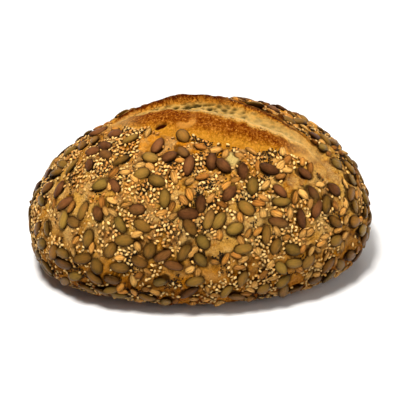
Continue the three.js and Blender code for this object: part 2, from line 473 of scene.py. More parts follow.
def bareGround(here, across, girthAngle, bareBack):
    # true on the open cut, on the strip behind its ear and on the bare spots
    x = here[:, 0]
    start, end, fade = slash["bareBackStart"], slash["bareBackEnd"], slash["bareBackFade"]
    sheltered = ramp(x, start - fade, start)
    sheltered *= 1 - ramp(x, end, end + fade)
    back = slash["bareBackLeast"] + (bareBack - slash["bareBackLeast"]) * sheltered
    front = -1 + scattering["edgeWaver"] * smoothNoise(here, scattering["edgeWaverSize"], 9)
    cut = (cutShare(x) > 0.02) & (np.sin(girthAngle) > 0) & (across > front) & (across < back)
    spots = spotShare(here, flouryBlister, False) + spotShare(here, orangePatch, False)
    return cut | (spots > 0.3)


def candidates(count, bareBack, rng):
    # places drawn evenly over the crust: angles kept with a chance equal to the area they stand for
    draws = count * scattering["spareDraws"]
    reach = scattering["lengthReach"]
    lengthAngle = np.arccos(rng.uniform(-reach, reach, draws))
    girthAngle = rng.uniform(0, 2 * np.pi, draws)
    here, normal, along, across = surfaceFrame(lengthAngle, girthAngle)
    step = 0.01
    a = crustSurface(lengthAngle + step, girthAngle, baked=False)[0] - here
    b = crustSurface(lengthAngle, girthAngle + step, baked=False)[0] - here
    area = np.linalg.norm(np.cross(a, b), axis=-1) / np.maximum(np.sin(lengthAngle), 0.02)
    chance = area / np.quantile(area, scattering["areaCap"])
    seeded = (here[:, 2] > scattering["lowest"]) & (normal[:, 2] > scattering["overhang"])
    seeded &= ~bareGround(here, across, girthAngle, bareBack)
    kept = seeded & (rng.uniform(0, 1, draws) < chance)
    baked = crustSurface(lengthAngle, girthAngle)[0]
    return baked[kept], normal[kept], along[kept]


def turnedAxes(normal, along, angle, tilt, rng):
    # seed axes: along turned in the crust's plane by angle, and the flat side tipped a little at random
    side = np.cross(normal, along)
    long = along * np.cos(angle)[:, None] + side * np.sin(angle)[:, None]
    up = normal + tilt * rng.uniform(-1, 1, normal.shape)
    up /= np.linalg.norm(up, axis=-1, keepdims=True)
    long -= up * (long * up).sum(-1, keepdims=True)
    long /= np.linalg.norm(long, axis=-1, keepdims=True)
    return np.stack([long, np.cross(up, long), up], 1)


def variedSeeds(kind, normal, along, rng):
    # a size and axes for each place, both at random about the kind's own
    n = len(normal)
    size = np.array(kind["size"]) * (1 + kind["vary"] * rng.uniform(-1, 1, (n, 3)))
    return size, turnedAxes(normal, along, rng.uniform(0, 2 * np.pi, n), kind["tilt"], rng)


def withinFrame(centre, axes, size):
    # true where a seed's ellipsoid stays inside the frame's box
    reach = np.sqrt(((axes * size[:, :, None] / 2) ** 2).sum(1))
    low, high = np.array(cadBox[0]), np.array(cadBox[1])
    return ((centre - reach > low) & (centre + reach < high)).all(1)


def discs(centre, axes, size):
    # three discs along a seed stand for its outline
    reach = (size[:, 0] - size[:, 1]) / 2
    offsets = np.array([-1, 0, 1])[None, :, None] * (reach[:, None] * axes[:, 0])[:, None, :]
    return centre[:, None] + offsets, np.repeat(size[:, 1:2] / 2 * scattering["discShare"], 3, 1)


def scatterLarge(kind, prefix, taken, seed):
    # the frame's seeds first, then more where their discs stay clear of those already down
    rng = np.random.default_rng(seed)
    rows = frameSeeds(prefix)
    choice = kind["count"] * scattering["largeChoice"]
    here, normal, along = candidates(choice, slash["bareBack"], rng)
    size, axes = variedSeeds(kind, normal, along, rng)
    centre = here + normal * (scattering["gap"] + size[:, 2:] / 2)
    thinning = kind["lean"] * (1 - ramp(here[:, 0], scattering["leanFrom"], scattering["leanTo"]))
    inside = (rng.uniform(0, 1, len(here)) < 1 - thinning) & withinFrame(centre, axes, size)
    centre, axes, size = centre[inside], axes[inside], size[inside]
    spots, radii = discs(centre, axes, size)
    ownSpots, ownRadii = discs(rows["centre"], rows["axes"], rows["size"])
    downSpots = np.concatenate([taken[0], ownSpots.reshape(-1, 3)])
    downRadii = np.concatenate([taken[1], ownRadii.reshape(-1)])
    chosen = []
    for i in range(len(centre)):
        gaps = np.linalg.norm(downSpots[None] - spots[i][:, None], axis=-1)
        if (gaps > kind["closeness"] * (downRadii[None] + radii[i][:, None])).all():
            chosen.append(i)
            downSpots = np.concatenate([downSpots, spots[i]])
            downRadii = np.concatenate([downRadii, radii[i]])
            if len(chosen) + len(rows["centre"]) >= kind["count"]:
                break
    rows = {
        "centre": np.concatenate([rows["centre"], centre[chosen]]),
        "axes": np.concatenate([rows["axes"], axes[chosen]]),
        "size": np.concatenate([rows["size"], size[chosen]]),
    }
    print(prefix, len(rows["centre"]), "seeds")
    return rows, (downSpots, downRadii)


def scatterSmall(kind, taken, seed):
    # small seeds gather where a slow noise is high, clear of the large ones, and lie on the dough
    rng = np.random.default_rng(seed)
    here, normal, along = candidates(kind["count"] * kind["choice"], slash["bareBackSmall"], rng)
    cluster = kind["clusterSize"]
    gather = layeredNoise(here, [(1, cluster, 1, seed), (0.5, cluster * 3, 1, seed + 1)])
    gather = np.minimum(gather, kind["clusterCap"])
    high = ramp(here[:, 2], scattering["highFrom"], scattering["highTo"]) * (here[:, 1] < 0)
    keen = np.exp(kind["clusterGrip"] * gather + kind["nearCut"] * high)
    order = np.argsort(-np.log(rng.uniform(1e-9, 1, len(here))) / keen)
    length = kind["size"][0]
    downSpots, downRadii = taken
    chosen, placed = [], np.empty((0, 3))
    for i in order:
        gaps = np.linalg.norm(downSpots - here[i], axis=-1) - downRadii
        if gaps.min() < length * scattering["clearOfLarge"]:
            continue
        apart = np.linalg.norm(placed - here[i], axis=-1)
        if len(placed) and apart.min() < length * scattering["clearOfSmall"]:
            continue
        chosen.append(i)
        placed = here[chosen]
        if len(chosen) >= kind["count"]:
            break
    here, normal, along = here[chosen], normal[chosen], along[chosen]
    size, axes = variedSeeds(kind, normal, along, rng)
    centre = here + normal * (loafForm["doughLift"] + size[:, 2:] * (0.5 - kind["sink"]))
    print("small seeds", len(here))
    return {"centre": centre, "axes": axes, "size": size}


def addPiece(name, points, faces, attributes, material):
    # the piece keeps inside the frame's box
    points = np.clip(points, np.array(cadBox[0]), np.array(cadBox[1]))
    mesh = bpy.data.meshes.new(name)
    mesh.from_pydata(points, [], faces)
    for key, values in attributes.items():
        layer = mesh.attributes.new(key, "FLOAT", "POINT")
        layer.data.foreach_set("value", np.asarray(values, np.float32).ravel())
    mesh.polygons.foreach_set("use_smooth", np.ones(len(mesh.polygons), bool))
    mesh.materials.append(material)
    mesh.update()
    piece = bpy.data.objects.new(name, mesh)
    bpy.context.scene.collection.objects.link(piece)
    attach(piece, "root")
    return piece


def closedGridFaces(rings, around):
    # faces of a surface of rings that close on themselves, with a single point at each pole
    i, j = np.meshgrid(np.arange(rings - 1), np.arange(around), indexing="ij")
    after = (j + 1) % around
    here, ahead = i * around, (i + 1) * around
    quads = np.stack([here + j, here + after, ahead + after, ahead + j], -1).reshape(-1, 4) + 1
    ring = np.arange(around)
    following = (ring + 1) % around
    first = np.stack([0 * ring, following + 1, ring + 1], -1)
    last = (rings - 1) * around + 1
    final = np.stack([0 * ring + last + around, last + ring, last + following], -1)
    return quads, first, final


def seedShape(kind, stepsLong, stepsRound):
    # flat almond: rings of an ellipse whose half-width follows a semicircle, narrowed towards the tip,
    # domed above and shallow below; the rim is where height turns to zero
    underside = 0.6
    angle = np.pi * np.arange(1, stepsLong) / stepsLong
    turn = 2 * np.pi * np.arange(stepsRound) / stepsRound
    x = -np.cos(angle)[:, None] + 0 * turn
    reach = np.sin(angle)[:, None] ** kind["bluntness"]
    y = reach * (1 - kind["sharpness"] * np.clip(x, 0, 1) ** 2) * np.cos(turn)
    lift = signedPower(np.sin(turn), 0.95)
    z = np.sin(angle)[:, None] ** 0.9 * np.where(lift > 0, lift * kind["dome"], lift * underside)
    rings = np.stack([x, y, z], -1).reshape(-1, 3)
    points = np.concatenate([[[-1, 0, 0]], rings, [[1, 0, 0]]])
    return points, closedGridFaces(stepsLong - 1, stepsRound)


def seedPiece(name, kind, rows, material, seed):
    # one shape carried to every seed's centre, axes and size, each bent by its length squared
    rng = np.random.default_rng(seed)
    shape, faceSets = seedShape(kind, *kind["steps"])
    n, k = len(rows["centre"]), len(shape)
    local = shape[None] * rows["size"][:, None] / 2
    bend = kind["bend"] * rng.uniform(-1, 1, (n, 1)) * shape[None, :, 0] ** 2
    local[..., 2] += bend * rows["size"][:, 2:]
    points = rows["centre"][:, None] + np.einsum("nkd,nde->nke", local, rows["axes"])
    firsts = (np.arange(n) * k)[:, None, None]
    faces = []
    for faceSet in faceSets:
        faces += (faceSet[None] + firsts).reshape(-1, faceSet.shape[1]).tolist()
    attributes = {
        "tone": np.repeat(rng.uniform(0, 1, n), k),
        "hue": np.repeat(rng.uniform(0, 1, n), k),
        "lengthwise": np.tile(shape[:, 0], n),
        "sideways": np.tile(shape[:, 1] / np.maximum(np.abs(shape[:, 1]).max(), 1e-6), n),
    }
    return addPiece(name, points.reshape(-1, 3), faces, attributes, material)


def crustGrid():
    # length angles gathered at the middle, and girth angles gathered at the cut's own angle there
    form = loafForm
    w = np.arange(1, form["lengthSteps"]) / form["lengthSteps"]
    lengthAngle = np.pi * w + form["fineLengthShare"] * np.sin(2 * np.pi * w)
    turn = np.arange(form["girthSteps"]) / form["girthSteps"] - 0.5
    eased = 2 * np.pi * turn - form["fineGirthShare"] * np.sin(2 * np.pi * turn)
    middle = earLine(-form["halfLength"] * np.cos(lengthAngle)) - slash["middle"]
    halfWidth = form["halfWidth"] * np.maximum(np.sin(lengthAngle) ** form["planFullness"], 0.4)
    cutAngle = np.arccos(np.clip(middle / halfWidth, -0.5, 0.5))
    return lengthAngle[:, None] + 0 * eased, cutAngle[:, None] - eased[None]


def besideLarge(points, kindRows):
    # a collar of dough round each large seed, and painted shade under and just round it, by the seed's
    # oval
    collar, paintedSeedShadow = np.zeros(points.shape[:2]), np.zeros(points.shape[:2])
    for rows, reach in kindRows:
        for centre, axes, size in zip(rows["centre"], rows["axes"], rows["size"]):
            near = np.nonzero(np.abs(points[..., 0] - centre[0]) < reach)
            offset = points[near] - centre
            close = (offset ** 2).sum(-1) < reach ** 2
            near = (near[0][close], near[1][close])
            local = offset[close] @ axes.T
            oval = np.sqrt((local[:, 0] / size[0]) ** 2 + (local[:, 1] / size[1]) ** 2) * 2
            ring = hump(oval, loafForm["collarPlace"], loafForm["collarSpread"])
            collar[near] = np.maximum(collar[near], ring)
            paintedSeedShadow[near] = np.maximum(paintedSeedShadow[near], 1 - ramp(oval, *loafForm["seedShadowEdge"]))
    return collar, paintedSeedShadow


def besideSmall(points, rows):
    # painted shade among the small seeds: 1 close to one, fading with the distance in seed lengths
    flat = points.reshape(-1, 3)
    smallSeedShade = np.zeros(len(flat))
    for centre, size in zip(rows["centre"], rows["size"]):
        near = np.nonzero(np.abs(flat[:, 0] - centre[0]) < size[0])[0]
        distance = np.linalg.norm(flat[near] - centre, axis=-1) / size[0]
        smallSeedShade[near] = np.maximum(smallSeedShade[near], 1 - ramp(distance, *loafForm["smallSeedShadeEdge"]))
    return smallSeedShade.reshape(points.shape[:2])


def bakedCrust(largeRows, smallRows):
    # the crust's grid, lifted along its normal by the sum of each relief times where it lies, and an
    # attribute for each thing that the material paints
    form = loafForm
    u, t = crustGrid()
    points, across, onTop = crustSurface(u, t)
    normal = surfaceFrame(u, t)[1]
    inCut = onTop * ramp(across, *slash["frontEdge"]) * (1 - ramp(across, *slash["backEdge"]))
    seeded = (1 - ramp(inCut, 0, 0.5)) * ramp(points[..., 2], *form["footEdge"])
    band = cutBand(points[..., 0], across)
    torn = onTop ** 0.5 * ramp(band, *slash["tornFrom"]) * (1 - ramp(band, *slash["tornTo"]))
    bare = inCut * (1 - torn)

    # seeded crust: dough that rises round the seeds, wrinkles and blisters
    collar, paintedSeedShadow = besideLarge(points, largeRows)
    smallSeedShade = besideSmall(points, smallRows)
    wrinkle = layeredNoise(points, form["wrinkles"])
    blister = blisters(points, crustBlisters, 31)
    dough = form["doughLift"] * (0.5 + form["collarLift"] * collar)
    lift = seeded * (dough + form["wrinkleHeight"] * wrinkle + crustBlisters["height"] * blister)
    floury, orange = spotShare(points, flouryBlister), spotShare(points, orangePatch)
    lift += flouryBlister["height"] * floury

    # bare crust of the bloom: stretch marks that run with the cut, and small blisters
    strained = layeredNoise(points, slash["stretchMarks"])
    bubble = blisters(points, bloomBlisters, 44)
    lift += bare * (slash["stretchHeight"] * strained + bloomBlisters["height"] * bubble)
    dome, hole = spotShare(points, domeBlister), spotShare(points, tornHole)
    behindDome = spotShare(points - (0, domeBlister["rimShift"], 0), domeBlister)
    crescent = np.clip(domeBlister["rimGain"] * (dome - behindDome), 0, 1)
    lift += domeBlister["height"] * dome + tornHole["height"] * hole

    # torn crumb: open pores and ragged strands, tighter towards the +X end and at the lip
    drawnOut = points * (slash["poreLengthScale"], 1, 1)
    pores = cells(drawnOut, slash["poreSize"], slash["poreReach"], 51)
    fine = cells(points, slash["finePoreSize"], slash["finePoreReach"], 52)
    openness = slash["openness"] - slash["endTightness"] * ramp(points[..., 0], *slash["endTightens"])
    openness = openness - slash["lipTightness"] * (1 - ramp(band, *slash["lipTightens"]))
    pores, fine = pores * openness, fine * openness
    lift -= torn * slash["poreDepth"] * (2.2 * pores + 0.8 * fine - 0.6)

    # paler skin at the cut's two ends
    ends = ramp(points[..., 0], *slash["paleFar"])
    ends = ends + slash["paleNearShare"] * (1 - ramp(points[..., 0], *slash["paleNear"]))
    paleEnd = np.clip(ends * (0.62 + 0.5 * smoothNoise(points, 0.008, 46)), 0, 1) * (band < 0.8)

    points = points + normal * lift[..., None]
    points[..., 2] = np.maximum(points[..., 2], 0)
    firstPole, lastPole = (crustSurface(np.array(a), np.array(np.pi / 2))[0] for a in (0.0, np.pi))
    allPoints = np.concatenate([[firstPole], points.reshape(-1, 3), [lastPole]])
    quads, first, final = closedGridFaces(*u.shape)
    faces = quads.tolist() + first.tolist() + final.tolist()
    painted = {
        "band": band,
        "bareCut": inCut,
        "torn": torn,
        "pores": np.clip(2.4 * pores + 0.5 * fine, 0, 1),
        # painted shade round the large seeds and among the small ones
        "seedShade": paintedSeedShadow * seeded,
        "smallSeedShade": smallSeedShade * seeded,
        "bubbles": np.clip(bubble * bare + domeBlister["rimShare"] * crescent, 0, 1),
        "hole": hole,
        "paleEnd": paleEnd,
        # painted shade in the wrinkles' hollows
        "hollowShade": np.clip(-1.1 * wrinkle - 0.25, 0, 1),
        "floury": floury,
        "orange": orange,
    }
    # the poles take the mean of the ring beside them
    attributes = {
        key: np.concatenate([[values[0].mean()], values.ravel(), [values[-1].mean()]])
        for key, values in painted.items()
    }
    print("crust", len(faces), "faces")
    return allPoints, faces, attributes


def shade(hexColour):
    # a paint colour such as #c08040, turned from screen values to linear ones
    channels = [int(hexColour[i:i + 2], 16) / 255 for i in (1, 3, 5)]
    return tuple(c / 12.92 if c <= 0.04045 else ((c + 0.055) / 1.055) ** 2.4 for c in channels) + (1,)


def addNode(tree, kind, inputs=None, **settings):
    # a node with its settings made and its inputs filled or linked
    node = tree.nodes.new(kind)
    for key, value in settings.items():
        setattr(node, key, value)
    for key, value in (inputs or {}).items():
        if isinstance(value, bpy.types.NodeSocket):
            tree.links.new(value, node.inputs[key])
        else:
            node.inputs[key].default_value = value
    return node


def calc(tree, operation, a, b, clamp=False):
    # one sum on two numbers or sockets
    node = addNode(tree, "ShaderNodeMath", {0: a, 1: b}, operation=operation, use_clamp=clamp)
    return node.outputs[0]


def times(tree, a, b):
    return calc(tree, "MULTIPLY", a, b)


def plus(tree, a, b):
    return calc(tree, "ADD", a, b)


def climb(tree, value, start, gain):
    # 0 up to start, then gain times what is above it, up to 1
    return calc(tree, "MULTIPLY", calc(tree, "SUBTRACT", value, start), gain, clamp=True)


def objectPlace(tree):
    return addNode(tree, "ShaderNodeTexCoord").outputs["Object"]


def heightAbove(tree, place):
    return addNode(tree, "ShaderNodeSeparateXYZ", {0: place}).outputs[2]


def noise(tree, place, scale, detail, roughness):
    inputs = {"Vector": place, "Scale": scale, "Detail": detail, "Roughness": roughness}
    return addNode(tree, "ShaderNodeTexNoise", inputs).outputs[0]


def blendColour(tree, share, a, b, mode="MIX"):
    node = addNode(tree, "ShaderNodeMix", {0: share, 6: a, 7: b}, data_type="RGBA", blend_type=mode)
    return node.outputs[2]


def colourBands(tree, value, stops):
    # a ramp of colours: stops are (place, paint colour)
    node = addNode(tree, "ShaderNodeValToRGB", {0: value})
    elements = node.color_ramp.elements
    while len(elements) < len(stops):
        elements.new(0.5)
    for element, (place, colour) in zip(elements, stops):
        element.position = place
        element.color = shade(colour)
    return node.outputs[0]


def attribute(tree, name):
    return addNode(tree, "ShaderNodeAttribute", attribute_name=name).outputs["Fac"]


def newGroup(name, inputs, outputs):
    # a shader node group with named sockets, each a colour or a number as its default is
    tree = bpy.data.node_groups.new(name, "ShaderNodeTree")
    for direction, sockets in (("INPUT", inputs), ("OUTPUT", outputs)):
        for label, default in sockets.items():
            kind = "NodeSocketColor" if isinstance(default, tuple) else "NodeSocketFloat"
            socket = tree.interface.new_socket(name=label, in_out=direction, socket_type=kind)
            socket.default_value = default
    return tree, tree.nodes.new("NodeGroupInput").outputs, tree.nodes.new("NodeGroupOutput").inputs


def placeGroup(tree, group, inputs):
    return addNode(tree, "ShaderNodeGroup", inputs, node_tree=group)


white, grey, black = (1.0, 1.0, 1.0, 1.0), (0.5, 0.5, 0.5, 1.0), (0.0, 0.0, 0.0, 1.0)


def bakeMottle():
    # group: uneven browning, two sizes of noise on Object coordinates blended between three colours
    tree, given, result = newGroup(
        "bakeMottle",
        {"Pale": white, "Middle": grey, "Dark": black, "Patches per metre": 60.0, "Darkness": 0.0},
        {"Color": grey, "Value": 0.0},
    )
    fineRatio = 6.5
    broadShare = 1.5
    evenLevel = 0.75
    place = objectPlace(tree)
    scale = given["Patches per metre"]
    broad = noise(tree, place, scale, detail=3.0, roughness=0.6)
    fine = noise(tree, place, times(tree, scale, fineRatio), detail=4.0, roughness=0.65)
    total = plus(tree, times(tree, broad, broadShare), fine)
    total = plus(tree, calc(tree, "SUBTRACT", total, evenLevel), given["Darkness"])
    low = climb(tree, total, 0.20, 4.0)
    high = climb(tree, total, 0.48, 4.0)
    colour = blendColour(tree, low, given["Pale"], given["Middle"])
    tree.links.new(blendColour(tree, high, colour, given["Dark"]), result["Color"])
    tree.links.new(total, result["Value"])
    return tree


def fineGrain():
    # group: small relief for bump, one noise of many octaves on Object coordinates
    tree, given, result = newGroup(
        "fineGrain",
        {"Grains per metre": 900.0, "Sharpness": 0.6},
        {"Height": 0.0},
    )
    grain = noise(tree, objectPlace(tree), given["Grains per metre"], 6.0, given["Sharpness"])
    tree.links.new(grain, result["Height"])
    return tree


def flourDust():
    # group: a pale dusting, patches times specks times the amount, blended over a colour
    tree, given, result = newGroup(
        "flourDust",
        {"Color": grey, "Dust": white, "Amount": 0.3, "Patches per metre": 90.0},
        {"Color": grey, "Mask": 0.0},
    )
    specksPerMetre = 2200.0
    place = objectPlace(tree)
    patches = noise(tree, place, given["Patches per metre"], detail=3.0, roughness=0.6)
    specks = noise(tree, place, specksPerMetre, detail=2.0, roughness=0.7)
    mask = times(tree, climb(tree, patches, 0.41, 4.0), climb(tree, specks, 0.30, 2.2))
    mask = calc(tree, "MULTIPLY", mask, given["Amount"], clamp=True)
    tree.links.new(blendColour(tree, mask, given["Color"], given["Dust"]), result["Color"])
    tree.links.new(mask, result["Mask"])
    return tree


toasting = {
    "patchesPerMetre": 300.0,
    "patchStrength": 1.6,
    "crownFrom": 0.062,       # height above which seeds brown further, and how fast
    "crownGain": 40.0,
    "scorchFrom": 0.66,
    "scorchGain": 3.0,
    "streakPlaces": (0.7, 3.2, 60.0),   # scale along, across, and from seed to seed
    "streakScale": 1.3,
    "leastBrightness": 0.48,
    "seedBrightness": 0.6,    # what is added at random by seed, by patch and on the crest
    "patchBrightness": 0.8,
    # painted sheen on each seed's crest, and how far it reaches
    "sheenBrightness": 0.6,
    "sheenReach": 0.5,
    "footBrightness": 0.54,   # share that is left at the loaf's foot
    "footGain": 18.0,
    "streakMask": (0.42, 4.0),
    "roughnessVary": 0.25,
    "streakRelief": 0.8,
    "bumpDepth": 0.0006,
}


def seedToast():
    # group: a seed's colour from its tone, raw to toasted; rim darker (own margin, painted shade); middle
    # paler as painted sheen
    tree, given, result = newGroup(
        "seedToast",
        {
            "Raw": white, "Toasted": grey, "Scorched": black, "Rim": black,
            "Rim width": 0.3, "Rim strength": 0.7, "Streaks": 0.3, "Crown browning": 0.0,
        },
        {"Color": grey, "Height": 0.0},
    )
    rule = toasting
    place = objectPlace(tree)
    height = heightAbove(tree, place)
    tone, hue = attribute(tree, "tone"), attribute(tree, "hue")
    lengthwise, sideways = attribute(tree, "lengthwise"), attribute(tree, "sideways")

    # uneven toasting, and scorching that grows towards the crown
    patches = noise(tree, place, rule["patchesPerMetre"], detail=5.0, roughness=0.65)
    uneven = times(tree, calc(tree, "SUBTRACT", patches, 0.5), rule["patchStrength"])
    toasted = calc(tree, "ADD", tone, uneven, clamp=True)
    colour = blendColour(tree, toasted, given["Raw"], given["Toasted"])
    high = climb(tree, height, rule["crownFrom"], rule["crownGain"])
    browning = plus(tree, hue, times(tree, high, given["Crown browning"]))
    scorch = climb(tree, browning, rule["scorchFrom"], rule["scorchGain"])
    colour = blendColour(tree, scorch, colour, given["Scorched"])

    # streaks along it, and a dark rim of own margin and painted shade, by the sum of squares of its two
    # coordinates
    placeScales = zip((lengthwise, sideways, tone), rule["streakPlaces"])
    own = {n: times(tree, value, scale) for n, (value, scale) in enumerate(placeScales)}
    ownPlace = addNode(tree, "ShaderNodeCombineXYZ", own).outputs[0]
    streaks = noise(tree, ownPlace, rule["streakScale"], detail=3.0, roughness=0.6)
    line = times(tree, climb(tree, streaks, *rule["streakMask"]), given["Streaks"])
    colour = blendColour(tree, line, colour, given["Rim"])
    oval = plus(tree, times(tree, lengthwise, lengthwise), times(tree, sideways, sideways))
    outside = calc(tree, "SUBTRACT", oval, calc(tree, "SUBTRACT", 1.0, given["Rim width"]))
    edge = calc(tree, "DIVIDE", outside, given["Rim width"], clamp=True)
    edge = times(tree, times(tree, edge, edge), given["Rim strength"])
    colour = blendColour(tree, edge, colour, given["Rim"])

    # brightness differs by seed and by patch, grows on the crest as painted sheen, falls at the loaf's
    # foot
    seedShare = calc(tree, "FRACT", times(tree, hue, 7.31), 0.0)
    brightness = plus(tree, rule["leastBrightness"], times(tree, seedShare, rule["seedBrightness"]))
    brightness = plus(tree, brightness, times(tree, uneven, rule["patchBrightness"]))
    crest = calc(tree, "SUBTRACT", rule["sheenReach"], oval, clamp=True)
    brightness = plus(tree, brightness, times(tree, crest, rule["sheenBrightness"]))
    risen = climb(tree, height, 0.0, rule["footGain"])
    foot = plus(tree, rule["footBrightness"], times(tree, risen, 1 - rule["footBrightness"]))
    brightness = times(tree, brightness, foot)
    varied = addNode(tree, "ShaderNodeHueSaturation", {"Value": brightness, "Color": colour})
    tree.links.new(varied.outputs[0], result["Color"])
    tree.links.new(calc(tree, "SUBTRACT", 1.0, line), result["Height"])
    return tree


groups = {"mottle": bakeMottle(), "grain": fineGrain(), "dust": flourDust(), "toast": seedToast()}
toastTint = "#ffefd3"         # warms every baked surface
glossTint = "#ffb860"


def newMaterial(name, **constants):
    material = bpy.data.materials.new(name)
    material.use_nodes = True
    tree = material.node_tree
    shader = tree.nodes["Principled BSDF"]
    for key, value in constants.items():
        shader.inputs[key.replace("_", " ")].default_value = value
    return material, tree, shader


def finishSurface(tree, shader, colour, roughness, height, strength, distance):
    # colour, roughness and a bump from a height into the shader
    toasted = blendColour(tree, 1.0, colour, shade(toastTint), "MULTIPLY")
    tree.links.new(toasted, shader.inputs["Base Color"])
    tree.links.new(roughness, shader.inputs["Roughness"])
    bump = addNode(tree, "ShaderNodeBump", {"Strength": strength, "Distance": distance, "Height": height})
    tree.links.new(bump.outputs[0], shader.inputs["Normal"])


crustFinish = {
    "heightBands": [          # seeded crust from the foot to the crown
        (0.00, "#4a2000"), (0.12, "#7a3f02"), (0.30, "#ae7416"), (0.55, "#cca456"),
        (0.78, "#d4a54e"), (0.92, "#d89018"), (1.00, "#c67c12"),
    ],
    "middle": "#aa7424",
    # the mottle's and specks' own dark brown, also laid as painted shade in the wrinkles' hollows
    "dark": "#5a2600",
    # painted shade round the large seeds, and then among the small ones
    "creviceShade": "#260f00",
    # painted shade in the gaps among the small seeds
    "gap": "#522a04",
    "dust": "#e4cf9e",
    "orange": "#d8960f",
    "flour": "#d0c284",
    "baseColour": "#a06a2c",
    "grain": "#641f00",
    "bubble": "#f0b058",
    # painted shade in the torn hole
    "hole": "#3c1204",
    "paleEnd": "#f8da98",
    # painted shade in the crumb's pores
    "poreShade": "#2f2a10",
    "seededLayers": [         # attribute, share and colour, each laid over the last
        # the first, fourth and fifth layers are painted shade: in the hollows, among small seeds, round
        # large seeds
        ("hollowShade", 0.70, "dark"),
        ("orange", 0.28, "orange"),
        ("floury", 0.85, "flour"),
        ("smallSeedShade", 0.60, "gap"),
        ("seedShade", 0.80, "creviceShade"),
    ],
    "cutBands": [             # from the cut's front edge to just behind the ear
        (0.00, "#dc9c30"), (0.07, "#e8a836"), (0.15, "#d08a22"),
        (0.22, "#b06814"), (0.38, "#9a520c"), (0.43, "#d49838"),
        (0.46, "#f6c874"), (0.50, "#fad890"), (0.54, "#f6da9c"),
        (0.61, "#e8ca88"), (0.69, "#f0c46c"), (0.74, "#e8aa44"),
        (0.785, "#dc9630"), (0.82, "#94500c"), (0.85, "#4c2004"),
        (0.885, "#3b1a07"), (0.93, "#452208"), (1.00, "#7d4f1c"),
    ],
    "bandWaver": 0.16,
    "waversPerMetre": 260.0,
    "specular": 0.05,
    "mottlesPerMetre": 75.0,
    "mottleDarkness": -0.22,
    "dustFrom": 0.125,        # share of the crown's height where flour begins, its gain and its most
    "dustGain": 2.4,
    "dustMost": 0.9,
    "specksPerMetre": 1100.0,
    "speckShare": 0.45,
    # where each mask starts, in its own noise or attribute, and its gain
    "speckMask": (0.50, 6.0),
    "grainMask": (0.46, 9.0),
    "grainPatchMask": (0.30, 5.0),
    "paleGrainMask": (0.46, 11.0),
    "scorchMask": (0.03, 5.0),
    "cutMask": (0.12, 3.0),
    "grainsPerMetre": 560.0,
    "grainPatchesPerMetre": 110.0,
    "grainShare": 0.92,
    "grainLeast": 0.28,       # share of the grains that is left at the cut's front edge
    "paleGrainShare": 0.72,
    "bubbleShare": 0.80,
    "poreShadeShare": 0.95,
    "holeShadeShare": 1.6,
    "baseDust": 0.8,
    "basePatchesPerMetre": 40.0,
    "baseGain": 260.0,        # how fast the sole gives way to the crust above, per metre
    "reliefPerMetre": 600.0,
    "speckRelief": 0.5,       # shares of the specks and of the cut's grains in the bump
    "grainRelief": 1.4,
    "roughness": 0.42,
    "roughnessVary": 0.4,
    "bump": 1.0,
    "bumpDepth": 0.0022,
}


def seededColour(tree, place, height, speckle):
    # colour by height, darker towards the foot, and mottle, flour over it, dark specks, and then the
    # layers one by one
    finish = crustFinish
    level = calc(tree, "MULTIPLY", height, 1 / loafForm["crownHeight"], clamp=True)
    mottle = placeGroup(tree, groups["mottle"], {
        "Pale": colourBands(tree, level, finish["heightBands"]),
        "Middle": shade(finish["middle"]),
        "Dark": shade(finish["dark"]),
        "Patches per metre": finish["mottlesPerMetre"],
        "Darkness": finish["mottleDarkness"],
    })
    flouriness = climb(tree, level, finish["dustFrom"], finish["dustGain"])
    dusted = placeGroup(tree, groups["dust"], {
        "Color": mottle.outputs["Color"],
        "Dust": shade(finish["dust"]),
        "Amount": times(tree, flouriness, finish["dustMost"]),
    })
    specks = times(tree, climb(tree, speckle, *finish["speckMask"]), finish["speckShare"])
    colour = blendColour(tree, specks, dusted.outputs["Color"], shade(finish["dark"]))
    for name, share, paint in finish["seededLayers"]:
        layer = times(tree, attribute(tree, name), share)
        colour = blendColour(tree, layer, colour, shade(finish[paint]))
    return colour


def cutColour(tree, place, grains):
    # bands across the cut, wavering, with dark and pale grains on the bloom, bubbles, painted shade in the
    # crumb's pores and the torn hole, and the paler ends
    finish = crustFinish
    band, torn = attribute(tree, "band"), attribute(tree, "torn")
    wobble = noise(tree, place, finish["waversPerMetre"], detail=4.0, roughness=0.6)
    shift = times(tree, calc(tree, "SUBTRACT", wobble, 0.5), finish["bandWaver"])
    colour = colourBands(tree, plus(tree, band, shift), finish["cutBands"])
    bloom = calc(tree, "SUBTRACT", 1.0, torn)
    patches = noise(tree, place, finish["grainPatchesPerMetre"], detail=3.0, roughness=0.6)
    patches = climb(tree, patches, *finish["grainPatchMask"])
    darkGrains = times(tree, climb(tree, grains, *finish["grainMask"]), patches)
    darkGrains = times(tree, darkGrains, bloom)
    behindEdge = times(tree, climb(tree, band, *finish["scorchMask"]), 1 - finish["grainLeast"])
    darkGrains = times(tree, darkGrains, plus(tree, finish["grainLeast"], behindEdge))
    start, gain = finish["paleGrainMask"]
    paleGrains = calc(tree, "MULTIPLY", calc(tree, "SUBTRACT", start, grains), gain, clamp=True)
    layers = [
        (darkGrains, finish["grainShare"], "grain"),
        (times(tree, paleGrains, bloom), finish["paleGrainShare"], "bubble"),
        (attribute(tree, "bubbles"), finish["bubbleShare"], "bubble"),
        (times(tree, torn, attribute(tree, "pores")), finish["poreShadeShare"], "poreShade"),
        (attribute(tree, "hole"), finish["holeShadeShare"], "hole"),
        (attribute(tree, "paleEnd"), 1.0, "paleEnd"),
    ]
    for value, share, paint in layers:
        layer = calc(tree, "MULTIPLY", value, share, clamp=True)
        colour = blendColour(tree, layer, colour, shade(finish[paint]))
    return colour


